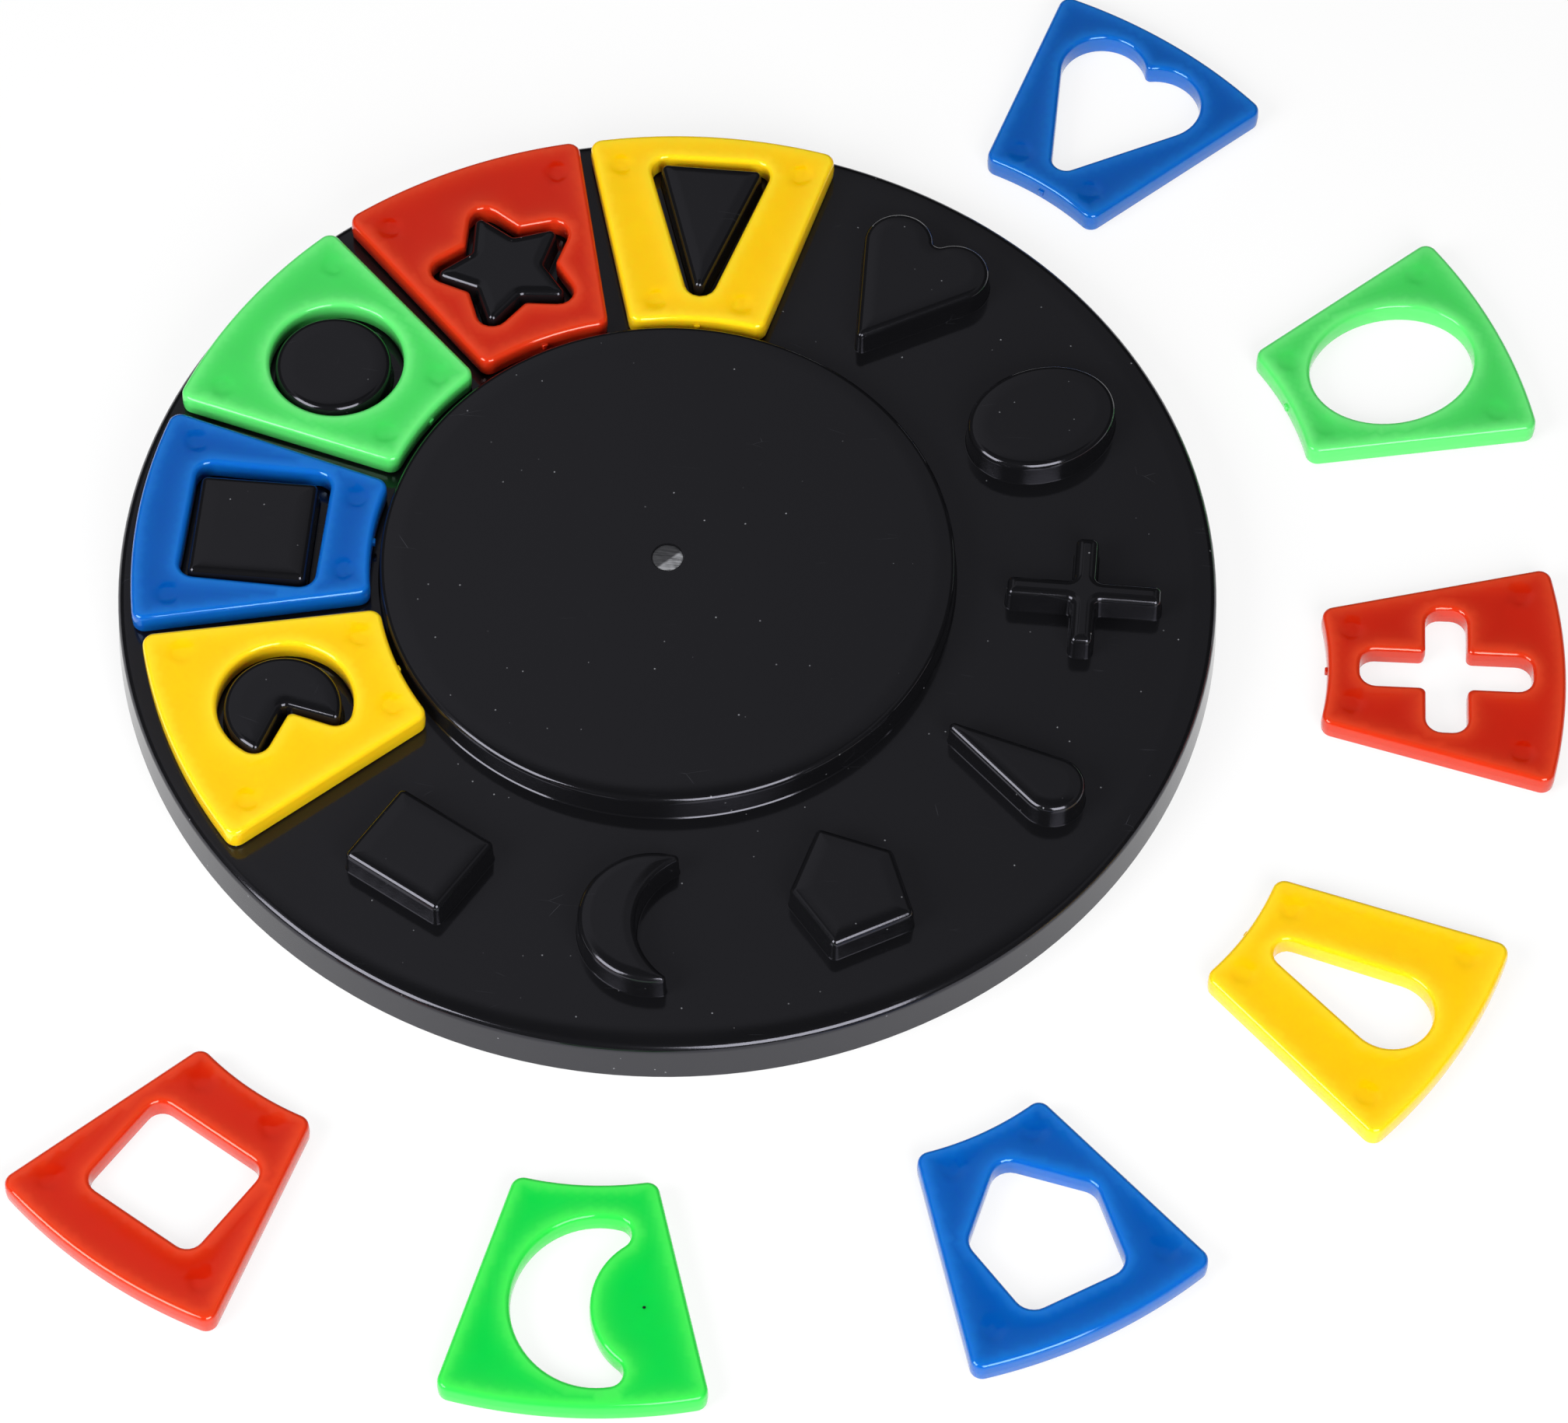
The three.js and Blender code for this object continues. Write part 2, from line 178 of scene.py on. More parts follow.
def roundedPolygon(corners, grow):
    sides = []
    for i, p in enumerate(corners):
        d = (Vector(corners[(i + 1) % len(corners)]) - Vector(p)).normalized()
        sides.append((Vector(p) + Vector((d.y, -d.x)) * grow, d))
    points = []
    for i, (q, e) in enumerate(sides):
        p, d = sides[i - 1]
        along = ((q.x - p.x) * e.y - (q.y - p.y) * e.x) / d.cross(e)
        corner = p + d * along
        turn = 1 if d.cross(e) > 0 else -1
        radius = cornerAt(shapes["cornerRadius"], grow) if turn > 0 else notchAt(grow)
        half = math.acos(d.dot(e)) / 2
        middle = corner - d * radius * math.tan(half) + Vector((-d.y, d.x)) * radius * turn
        start = math.atan2(-d.x * turn, d.y * turn)
        end = start + 2 * half * turn
        points += arcOf(middle.x, middle.y, radius, start, end, shapes["cornerSteps"])
    return points


def mirrored(points):
    return points + [(x, -y) for x, y in reversed(points)]


def blockShape(length, width, grow):
    return roundedPolygon(mirrored([(-length / 2, -width / 2), (length / 2, -width / 2)]), grow)


def triangleShape(grow):
    tip = -shapes["triangleLength"] * shapes["triangleInnerShare"]
    base = tip + shapes["triangleLength"]
    wide = shapes["triangleBase"] / 2
    return roundedPolygon([(tip, 0), (base, -wide), (base, wide)], grow)


def heartShape(grow):
    spread = shapes["heartSpread"]
    lobeX = shapes["heartLength"] / 2 - shapes["heartLobe"]
    tipX = shapes["heartTip"] - shapes["heartLength"] / 2
    reach = math.hypot(lobeX - tipX, spread)
    slope = math.atan2(spread, lobeX - tipX)
    slope += math.asin((shapes["heartLobe"] - shapes["heartTip"]) / reach)
    tip = cornerAt(shapes["heartTip"], grow)
    lobe = shapes["heartLobe"] + grow
    side = spread * math.cos(slope) - lobeX * math.sin(slope) + lobe
    tipCentre = (tip - side) / math.sin(slope)
    notch = notchAt(grow)
    dip = lobeX + math.sqrt((lobe + notch) ** 2 - spread ** 2)
    lean = math.atan2(spread, dip - lobeX)
    steps = shapes["cornerSteps"]
    upper = arcOf(dip, 0, notch, math.pi, math.pi - lean, steps)[1:]
    upper += arcOf(lobeX, spread, lobe, -lean, math.pi / 2 + slope, shapes["lobeSteps"])[1:]
    upper += arcOf(tipCentre, 0, tip, math.pi / 2 + slope, math.pi, steps)[:-1]
    lower = [(x, -y) for x, y in reversed(upper)]
    return [(dip - notch, 0)] + upper + [(tipCentre - tip, 0)] + lower


def ellipseShape(grow):
    long, wide = shapes["ellipseLength"] / 2, shapes["ellipseWidth"] / 2
    points = []
    for c, s in arcOf(0, 0, 1, 0, 2 * math.pi, shapes["roundSteps"])[1:]:
        normal = math.hypot(wide * c, long * s)
        points.append((c * (long + grow * wide / normal), s * (wide + grow * long / normal)))
    return points


def crossShape(grow):
    a, long, wide = shapes["crossArm"] / 2, shapes["crossLength"] / 2, shapes["crossWidth"] / 2
    lower = [(-long, -a), (-a, -a), (-a, -wide), (a, -wide), (a, -a), (long, -a)]
    return roundedPolygon(mirrored(lower), grow)


def dropShape(grow):
    endX = shapes["dropLength"] / 2 - shapes["dropEnd"]
    reach = shapes["dropLength"] - shapes["dropEnd"] - shapes["dropTip"]
    spread = (shapes["dropEnd"] - shapes["dropTip"]) / reach
    end = shapes["dropEnd"] + grow
    tip = cornerAt(shapes["dropTip"], grow)
    side = math.pi / 2 + math.asin(spread)
    tipX = endX - (end - tip) / spread
    points = arcOf(endX, 0, end, -side, side, shapes["endSteps"])
    return points + arcOf(tipX, 0, tip, side, 2 * math.pi - side, shapes["tipSteps"])


def pentagonShape(grow):
    tip = shapes["pentagonShift"] - shapes["pentagonLength"] / 2
    shoulder = tip + shapes["pentagonLength"] * shapes["pentagonShoulderShare"]
    base = tip + shapes["pentagonLength"]
    lower = [(shoulder, -shapes["pentagonShoulder"] / 2), (base, -shapes["pentagonBase"] / 2)]
    return roundedPolygon([(tip, 0)] + mirrored(lower), grow)


def crescentShape(grow):
    offset = shapes["crescentOffset"]
    outer = shapes["crescentOuter"] + grow
    inner = shapes["crescentInner"] - grow
    horn = cornerAt(shapes["crescentHorn"], grow)
    far, near = outer - horn, inner + horn
    y = (far ** 2 - near ** 2 + offset ** 2) / (2 * offset)
    x = math.sqrt(far ** 2 - y ** 2)
    outside, inside = math.atan2(y, x), math.atan2(y - offset, x)
    right = arcOf(x, y, horn, outside, inside + math.pi, shapes["hornSteps"])
    left = [(-a, b) for a, b in reversed(right)]
    hollow = arcOf(0, offset, inner, inside, -math.pi - inside, shapes["hollowSteps"])[1:-1]
    rim = arcOf(0, 0, outer, -math.pi - outside, outside, shapes["crescentSteps"])[1:-1]
    return [(a, b + shapes["crescentShift"]) for a, b in right + hollow + left + rim]


def rectangleShape(grow):
    return blockShape(shapes["rectangleLength"], shapes["rectangleWidth"], grow)


def notchedShape(grow):
    radius = shapes["notchedRadius"] + grow
    corner = cornerAt(shapes["cornerRadius"], grow)
    half = math.radians(shapes["notchAngle"] / 2)
    notch = notchAt(grow)
    lift = (notch + grow) / math.sin(half)
    inset = corner - grow
    out = math.sqrt((radius - corner) ** 2 - inset ** 2)
    x = out * math.sin(half) + inset * math.cos(half)
    y = out * math.cos(half) - inset * math.sin(half)
    bearing, steps = math.atan2(y, x), shapes["tipSteps"]
    right = arcOf(x, y, corner, bearing, math.pi - half, steps)
    left = [(-a, b) for a, b in reversed(right)]
    apex = arcOf(0, lift, notch, -half, half - math.pi, steps)
    rim = arcOf(0, 0, radius, -math.pi - bearing, bearing, shapes["notchedSteps"])[1:-1]
    return right + apex + left + rim


def squareShape(grow):
    return blockShape(shapes["squareSide"], shapes["squareSide"], grow)


def circleShape(grow):
    return arcOf(0, 0, shapes["circleRadius"] + grow, 0, 2 * math.pi, shapes["roundSteps"])[1:]


def starShape(grow):
    corners = []
    for i in range(2 * shapes["starPoints"]):
        radius = shapes["starInner"] if i % 2 else shapes["starOuter"]
        a = math.pi * i / shapes["starPoints"]
        corners.append((shapes["starShift"] + radius * math.cos(a), radius * math.sin(a)))
    return roundedPolygon(corners, grow)


# A tile: its outline, its edges, the sunk faces, and the places of the ejector pins' rings
tile = {
    "inner": 81.2, "outer": 146.3, "sideGap": 2.5, "corner": 3.5, "thickness": 7,
    "cornerSteps": 8, "innerSteps": 16, "outerSteps": 30,
    "draft": 0.15, "fillet": 1.35, "lowFillet": 1.0, "filletSteps": 6,
    "partingInset": 0.02, "partingShares": (0.49, 0.5), "clearance": 2.3, "overDeck": 0.3,
    # The last value on the next line is how far in from an edge the painted edge glow fades, in
    # millimetres
    "sinkDepth": 0.5, "lowSinkDepth": 0.25, "sinkReach": 4.5, "paintedGlowMm": 1.9,
    "skinGap": 2.0, "rowShare": 0.866, "edgeShare": 0.7, "sameSpot": 1e-7, "leastArea": 0.0002,
    "pinSpots": [(87.4, 12), (87.4, -12), (133.8, 25.5), (133.8, -25.5)], "pinFromHole": 1.5,
    "pinRadius": 3.0, "pinDepth": 0.08, "pinStep": 0.16, "pinMargin": 1.0, "pinPoints": 28,
}


def tileShape(grow):
    half = sector / 2
    corner = cornerAt(tile["corner"], grow)
    across = tile["sideGap"] - grow + corner

    def middleAt(radius):
        along = math.sqrt(radius ** 2 - across ** 2)
        return (along * math.cos(half) + across * math.sin(half),
                along * math.sin(half) - across * math.cos(half))

    outer, inner = tile["outer"] + grow, tile["inner"] - grow
    farX, farY = middleAt(outer - corner)
    nearX, nearY = middleAt(inner + corner)
    farTurn, nearTurn = math.atan2(farY, farX), math.atan2(nearY, nearX)
    side = math.pi / 2 + half
    steps = tile["cornerSteps"]
    points = arcOf(farX, farY, corner, farTurn, side, steps)
    points += arcOf(nearX, nearY, corner, side, math.pi + nearTurn, steps)
    points += arcOf(0, 0, inner, nearTurn, -nearTurn, tile["innerSteps"])[1:-1]
    points += arcOf(nearX, -nearY, corner, math.pi - nearTurn, 2 * math.pi - side, steps)
    points += arcOf(farX, -farY, corner, -side, -farTurn, steps)
    points += arcOf(0, 0, outer, -farTurn, farTurn, tile["outerSteps"])[1:-1]
    return points


def fineOutline(shape, grow, shift=(0, 0), stretch=1):
    # Straight stretches get as many points at every offset as they have on the plain outline
    plain, points = shape(0), [(x * stretch, y) for x, y in shape(grow)]
    fine = []
    for i, p in enumerate(points):
        q = points[(i + 1) % len(points)]
        length = math.dist(plain[i], plain[(i + 1) % len(points)])
        parts = max(1, round(length / shapes["pointGap"]))
        for k in range(parts):
            t = k / parts
            fine.append((p[0] + (q[0] - p[0]) * t + shift[0], p[1] + (q[1] - p[1]) * t + shift[1]))
    return fine


# The camera, from the photograph's perspective: place in millimetres, angles in degrees
camera = {
    "spot": (103.52, -1032.6, 1541.61), "turn": 3.936, "tilt": 33.024, "roll": 1.036,
    "lens": 155.235, "sensor": 36, "clip": (0.05, 20),
}


def makeCamera():
    data = bpy.data.cameras.new("camera")
    data.lens = camera["lens"]
    data.sensor_width = camera["sensor"]
    data.clip_start, data.clip_end = camera["clip"]
    view = bpy.data.objects.new("camera", data)
    bpy.context.collection.objects.link(view)
    turn = Matrix.Rotation(math.radians(camera["turn"]), 4, "Z")
    tilt = Matrix.Rotation(math.radians(camera["tilt"]), 4, "X")
    roll = Matrix.Rotation(math.radians(camera["roll"]), 4, "Z")
    view.matrix_world = Matrix.Translation(Vector(camera["spot"]) * mm) @ turn @ tilt @ roll
    bpy.context.scene.camera = view
    print("camera placed")


# Colours and materials
def linear(hexColour):
    channels = [int(hexColour[i:i + 2], 16) / 255 for i in (0, 2, 4)]
    return [c / 12.92 if c <= 0.04045 else ((c + 0.055) / 1.055) ** 2.4 for c in channels] + [1]


def greyOf(level):
    return [level] * 3 + [1]


def addNode(owner, kind, settings=None):
    # A setting is a property of the node, a value for an input, or (node, output) to link to one
    node = owner.node_tree.nodes.new(kind)
    for key, value in (settings or {}).items():
        if isinstance(value, tuple) and isinstance(value[0], bpy.types.Node):
            owner.node_tree.links.new(value[0].outputs[value[1]], node.inputs[key])
        elif isinstance(key, str) and hasattr(node, key) and key not in node.inputs:
            setattr(node, key, value)
        else:
            node.inputs[key].default_value = value
    return node


def plainMaterial(name):
    material = bpy.data.materials.new(name)
    material.use_nodes = True
    material.node_tree.nodes.clear()
    return material


def mouldedSurface(material, spot, finish):
    # Broad waves and, on them, the fine grain of the mould, with their heights in millimetres; the
    # grain is coarser than a real mould's, so that it shows
    waveDetail, grainDetail = finish["detail"]
    wave = addNode(material, "ShaderNodeTexNoise", {
        "Scale": 1 / (finish["waveMm"] * mm), "Detail": waveDetail, "Vector": (spot, "Object")})
    grain = addNode(material, "ShaderNodeTexNoise", {
        "Scale": 1 / (finish["grainMm"] * mm), "Detail": grainDetail, "Vector": (spot, "Object")})
    waved = addNode(material, "ShaderNodeBump", {
        "Strength": 1.0, "Distance": finish["waveBump"] * mm, "Height": (wave, "Fac")})
    grained = addNode(material, "ShaderNodeBump", {
        "Strength": 1.0, "Distance": finish["grainBump"] * mm, "Height": (grain, "Fac"),
        "Normal": (waved, "Normal")})
    return wave, grained


blackFinish = {
    "name": "blackMouldedPolystyrene", "colour": "111113", "ior": 1.55, "tint": "f0efff",
    "roughness": (0.08, 0.15), "dullAt": (0.3, 0.75),
    "waveMm": 38, "waveBump": 0.05, "grainMm": 0.5, "grainBump": 0.006, "detail": (2.0, 3.0),
    "dustMm": 4.4, "dustSizeMm": 0.3, "dustShare": (0.55, 0.7), "dustColour": "a0a1a6",
    "scratchMm": (26, 7), "scratchTurn": (0.4, 0.3, 0.7), "scratchWide": 0.004,
    "scratchColour": "36373b", "patchMm": 38 / 3, "patchDetail": 1.0, "patchShare": (0.66, 0.72),
}


def makeBlack():
    # High-impact polystyrene straight from a polished mould: black, glossy, faintly wavy, and
    # with a little dust and a few fine scratches
    finish = blackFinish
    material = plainMaterial(finish["name"])
    spot = addNode(material, "ShaderNodeTexCoord")
    wave, normal = mouldedSurface(material, spot, finish)
    # Dust: a speck in the middle of some of the cells
    cells = addNode(material, "ShaderNodeTexVoronoi", {
        "Scale": 1 / (finish["dustMm"] * mm), "Vector": (spot, "Object")})
    dot = addNode(material, "ShaderNodeMapRange", {
        "From Min": finish["dustSizeMm"] / finish["dustMm"], "From Max": 0.0,
        "Value": (cells, "Distance")})
    low, high = finish["dustShare"]
    chosen = addNode(material, "ShaderNodeMapRange", {
        "From Min": low, "From Max": high, "Value": (cells, "Color")})
    dust = addNode(material, "ShaderNodeMath", {
        "operation": "MULTIPLY", 0: (dot, "Result"), 1: (chosen, "Result")})
    # Scratches: the sides of long narrow cells, seen in patches only
    long, short = finish["scratchMm"]
    drawn = addNode(material, "ShaderNodeMapping", {
        "Rotation": finish["scratchTurn"], "Vector": (spot, "Object"),
        "Scale": (1 / (long * mm), 1 / (short * mm), 1 / (short * mm))})
    lines = addNode(material, "ShaderNodeTexVoronoi", {
        "feature": "DISTANCE_TO_EDGE", "Scale": 1.0, "Vector": (drawn, "Vector")})
    line = addNode(material, "ShaderNodeMapRange", {
        "From Min": finish["scratchWide"], "From Max": 0.0, "Value": (lines, "Distance")})
    patches = addNode(material, "ShaderNodeTexNoise", {
        "Scale": 1 / (finish["patchMm"] * mm), "Detail": finish["patchDetail"],
        "Vector": (spot, "Object")})
    low, high = finish["patchShare"]
    patch = addNode(material, "ShaderNodeMapRange", {
        "From Min": low, "From Max": high, "Value": (patches, "Fac")})
    scratch = addNode(material, "ShaderNodeMath", {
        "operation": "MULTIPLY", 0: (line, "Result"), 1: (patch, "Result")})
    scratched = addNode(material, "ShaderNodeMix", {
        "data_type": "RGBA", "Factor": (scratch, 0),
        6: linear(finish["colour"]), 7: linear(finish["scratchColour"])})
    dusty = addNode(material, "ShaderNodeMix", {
        "data_type": "RGBA", "Factor": (dust, 0),
        6: (scratched, 2), 7: linear(finish["dustColour"])})
    # The gloss changes a little with the waves
    low, high = finish["dullAt"]
    smooth, rough = finish["roughness"]
    dull = addNode(material, "ShaderNodeMapRange", {
        "From Min": low, "From Max": high, "To Min": smooth, "To Max": rough,
        "Value": (wave, "Fac")})
    shader = addNode(material, "ShaderNodeBsdfPrincipled", {
        "IOR": finish["ior"], "Specular Tint": linear(finish["tint"]), "Base Color": (dusty, 2),
        "Normal": (normal, "Normal"), "Roughness": (dull, "Result")})
    addNode(material, "ShaderNodeOutputMaterial", {"Surface": (shader, "BSDF")})
    return material


tileFinish = {
    "roughness": 0.09, "ior": 1.49, "level": 1.0, "subsurface": 0.45, "glowMm": 3.5,
    # "edge" is how strongly the painted edge glow shows
    "edge": 0.65, "deep": 0.93, "pale": 1.05,
    "waveMm": 14, "waveBump": 0.14, "grainMm": 0.6, "grainBump": 0.004, "detail": (1.5, 3.0),
}

# The sheen leans to the plastic's own colour, because strong colours clip in the photograph
tileColours = {
    # Each "edge" colour is painted glow: the paler colour near the edges, in place of light coming back
    # out of thin plastic
    "yellow": {"body": "fcc600", "edge": "ffdc2c", "sheen": "ffffb0", "glow": (1.0, 0.45, 0.1)},
    "blue": {"body": "004fa6", "edge": "1a78d0", "sheen": "a8d8ff", "glow": (0.1, 0.3, 1.0)},
    "green": {"body": "42cf5c", "edge": "7cf08a", "sheen": "b8ffc0", "glow": (0.3, 1.0, 0.4)},
    "lightGreen": {"body": "00c944", "edge": "52e65c", "sheen": "a8ffb0", "glow": (0.3, 1.0, 0.4)},
    "red": {"body": "bf1b04", "edge": "de4a24", "sheen": "ffc8b8", "glow": (1.0, 0.2, 0.1)},
}


def makeTilePlastic(colour):
    # Moulded polypropylene: waxy gloss over broad waves, and light passes a little way into it; the
    # paler colour along the edges is painted glow, standing in for that light coming back out where the
    # plastic is thin
    finish, tints = tileFinish, tileColours[colour]
    material = plainMaterial(colour + "MouldedPolypropylene")
    spot = addNode(material, "ShaderNodeTexCoord")
    wave, normal = mouldedSurface(material, spot, finish)
    body = linear(tints["body"])
    deep = [c * finish["deep"] for c in body[:3]] + [1]
    pale = [min(1, c * finish["pale"]) for c in body[:3]] + [1]
    middle = addNode(material, "ShaderNodeMix", {
        "data_type": "RGBA", "Factor": (wave, "Fac"), 6: deep, 7: pale})
    # Painted glow: towards the edges the colour turns to the paler "edge" colour, in place of light
    # coming back out of the thin plastic
    border = addNode(material, "ShaderNodeAttribute", {"attribute_name": "border"})
    paintedGlowShare = addNode(material, "ShaderNodeMath", {
        "operation": "MULTIPLY", 0: (border, "Fac"), 1: finish["edge"]})
    tint = addNode(material, "ShaderNodeMix", {
        "data_type": "RGBA", "Factor": (paintedGlowShare, 0), 6: (middle, 2), 7: linear(tints["edge"])})
    shader = addNode(material, "ShaderNodeBsdfPrincipled", {
        "Roughness": finish["roughness"], "IOR": finish["ior"],
        "Specular IOR Level": finish["level"], "Specular Tint": linear(tints["sheen"]),
        "Subsurface Weight": finish["subsurface"], "Subsurface Scale": finish["glowMm"] * mm,
        "Subsurface Radius": tints["glow"], "Normal": (normal, "Normal"),
        "Base Color": (tint, 2)})
    addNode(material, "ShaderNodeOutputMaterial", {"Surface": (shader, "BSDF")})
    return material


scarFinish = {
    "dark": "232326", "pale": "97989c", "roughness": 0.42, "ior": 1.55,
    "streakMm": (5, 0.5), "streakDetail": 4.0, "bump": 0.12,
    "paleFromMm": (0.6, 1.5), "paleShare": (0.1, 1.0), "streakAt": (0.35, 0.65),
    "streakShare": (0.25, 1.0),
}


def makeTorn():
    # The same polystyrene where the sprue was cut off: torn, streaked and stress-whitened on one side
    finish = scarFinish
    material = plainMaterial("tornPolystyrene")
    spot = addNode(material, "ShaderNodeTexCoord")
    long, short = finish["streakMm"]
    drawn = addNode(material, "ShaderNodeMapping", {
        "Scale": (1 / (long * mm), 1 / (short * mm), 1 / (short * mm)), "Vector": (spot, "Object")})
    streaks = addNode(material, "ShaderNodeTexNoise", {
        "Scale": 1.0, "Detail": finish["streakDetail"], "Vector": (drawn, "Vector")})
    axes = addNode(material, "ShaderNodeSeparateXYZ", {"Vector": (spot, "Object")})
    across = addNode(material, "ShaderNodeMath", {
        "operation": "SUBTRACT", 0: (axes, "X"), 1: (axes, "Y")})
    near, far = finish["paleFromMm"]
    least, most = finish["paleShare"]
    side = addNode(material, "ShaderNodeMapRange", {
        "From Min": near * mm, "From Max": far * mm, "To Min": least, "To Max": most,
        "Value": (across, 0)})
    low, high = finish["streakAt"]
    least, most = finish["streakShare"]
    streak = addNode(material, "ShaderNodeMapRange", {
        "From Min": low, "From Max": high, "To Min": least, "To Max": most,
        "Value": (streaks, "Fac")})
    white = addNode(material, "ShaderNodeMath", {
        "operation": "MULTIPLY", 0: (side, "Result"), 1: (streak, "Result")})
    tint = addNode(material, "ShaderNodeMix", {
        "data_type": "RGBA", "Factor": (white, 0),
        6: linear(finish["dark"]), 7: linear(finish["pale"])})
    normal = addNode(material, "ShaderNodeBump", {
        "Strength": 1.0, "Distance": finish["bump"] * mm, "Height": (streaks, "Fac")})
    shader = addNode(material, "ShaderNodeBsdfPrincipled", {
        "Roughness": finish["roughness"], "IOR": finish["ior"], "Base Color": (tint, 2),
        "Normal": (normal, "Normal")})
    addNode(material, "ShaderNodeOutputMaterial", {"Surface": (shader, "BSDF")})
    return material


# The board: one black moulding with its disc and pegs
board = {
    "radius": 150, "height": 13.6, "draft": 0.6, "rimFillet": 2.3, "wall": 2.5, "softEdge": 0.3,
    "disc": 78.4, "discFillet": 1.7, "discDraft": 0.3, "raised": 8.2, "boss": 7, "flatFrom": 20,
    "crownWidth": 5, "crownDrop": 0.2, "crownSteps": 6, "turns": 192, "filletSteps": 8,
    "gate": 4.4, "gateDepth": 0.5, "gateLip": (0.25, 0.08), "gateDraft": 0.12,
    "pegFillet": 1.9, "pegWall": 2.2, "pegDraft": 0.15, "pegCrown": 0.15, "pegCrownSteps": 4,
    "pegFoot": [(0.35, -0.8), (0.35, -0.02), (0.1, 0.1), (0, 0.35)], "coreOver": (1, 0.3),
    "weldMm": 0.01, "leastMm": 0.001, "smoothAngle": 35,
}


def quarter(radius, top, fillet, steps):
    points = []
    for i in range(steps + 1):
        a = math.pi / 2 * (1 - i / steps)
        points.append((radius - fillet + fillet * math.cos(a), top - fillet + fillet * math.sin(a)))
    return points


def crownedEdge(radius, top, fillet):
    # The flat top sinks softly over the last few millimetres, then turns down
    start = radius - fillet - board["crownWidth"]
    points = []
    for i in range(board["crownSteps"]):
        t = i / board["crownSteps"]
        points.append((start + board["crownWidth"] * t, top - board["crownDrop"] * t ** 2))
    return points + quarter(radius, top - board["crownDrop"], fillet, board["filletSteps"])


def pegRings(item):
    # From under the deck round the peg's foot, up its wall, and over its rounded and crowned top
    top, raised = board["height"], board["height"] + board["raised"]
    fillet, drop, draft = board["pegFillet"], board["pegCrown"], board["pegDraft"]
    rings = [(draft + out, top + up) for out, up in board["pegFoot"]]
    for i in range(board["filletSteps"] + 1):
        a = math.pi / 2 * i / board["filletSteps"]
        rings.append((-draft - fillet * (1 - math.cos(a)), raised - drop - fillet * (1 - math.sin(a))))
    for i in range(1, board["pegCrownSteps"] + 1):
        t = i / board["pegCrownSteps"]
        rings.append((-draft - fillet - item["crown"] * t, raised - drop * (1 - t) ** 2))
    return rings


def makeBoard(material):
    top, raised = board["height"], board["height"] + board["raised"]
    under, lid = top - board["wall"], raised - board["wall"]
    skirt, foot = board["radius"] + board["draft"], board["disc"] + board["discDraft"]
    soft = board["softEdge"]
    # Half of the cross-section: up the boss, out along the hollow underside, and back over the top
    boss, wall, disc = board["boss"], board["wall"], board["disc"]
    profile = [(0, 0), (boss, 0), (boss, lid), (disc - wall, lid), (disc - wall, under)]
    profile += [(board["radius"] - wall, under), (skirt - wall, 0), (skirt - soft, 0), (skirt, soft)]
    profile += list(reversed(crownedEdge(board["radius"], top, board["rimFillet"])))
    profile += [(foot + soft, top), (foot, top + soft)]
    profile += list(reversed(crownedEdge(disc, raised, board["discFillet"])))
    gate, deep = board["gate"], raised - board["gateDepth"]
    lipOut, lipDown = board["gateLip"]
    profile += [(board["flatFrom"], raised), (gate + lipOut, raised), (gate, raised - lipDown)]
    profile += [(gate - board["gateDraft"], deep), (0, deep)]
    nothingSelected()
    bpy.ops.mesh.primitive_circle_add(vertices=len(profile), radius=mm)
    lathe = bpy.context.object
    for v, (r, z) in zip(lathe.data.vertices, profile):
        v.co = (r * mm, 0, z * mm)
    bpy.ops.object.mode_set(mode="EDIT")
    bpy.ops.mesh.select_all(action="SELECT")
    bpy.ops.mesh.spin(steps=board["turns"], angle=2 * math.pi, center=(0, 0, 0), axis=(0, 0, 1))
    bpy.ops.mesh.select_all(action="SELECT")
    bpy.ops.mesh.remove_doubles(threshold=board["weldMm"] * mm)
    bpy.ops.mesh.dissolve_degenerate(threshold=board["leastMm"] * mm)
    bpy.ops.mesh.normals_make_consistent(inside=False)
    bpy.ops.object.mode_set(mode="OBJECT")
    pegs, cores = [], []
    coreBelow, coreAbove = board["coreOver"]
    for item in tiles:
        turn = item["sector"] * sector
        x, y = pegCircle * math.cos(turn), pegCircle * math.sin(turn)
        rings = []
        for grow, z in pegRings(item):
            rings.append((placed(fineOutline(item["shape"], grow), x, y, turn), z))
        pegs.append(capped(wallOf("peg", rings)))
        outline = placed(fineOutline(item["shape"], -board["pegWall"]), x, y, turn)
        ends = [(outline, under - coreBelow), (outline, lid + coreAbove)]
        cores.append(capped(wallOf("core", ends)))
    allPegs, allCores = tidied(joined(pegs, "pegs")), tidied(joined(cores, "cores"))
    whole = cutOrJoined(lathe, allPegs, "UNION")
    whole = cutOrJoined(whole, allCores, "DIFFERENCE")
    whole.name = "boardMoulding"
    tidied(whole, board["smoothAngle"])
    only(whole)
    modifier = whole.modifiers.new("Weighted", "WEIGHTED_NORMAL")
    modifier.keep_sharp = True
    bpy.ops.object.modifier_apply(modifier=modifier.name)
    whole.data.materials.clear()
    whole.data.materials.append(material)
    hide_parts("board", *["peg_" + item["node"] for item in tiles])
    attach(whole, "board")
    print("board moulded,", len(whole.data.polygons), "faces")


scar = {
    "radius": 4.2, "turns": 48, "rings": 14, "root": 0.3, "lift": 0.32,
    "rough": 0.1, "size": 1.3, "seed": 0.5, "tilt": 0.045, "diagonal": 1.4,
    "edgeDrop": 0.2, "edgeFrom": 0.9, "edgeShare": 0.1, "smoothAngle": 50,
}


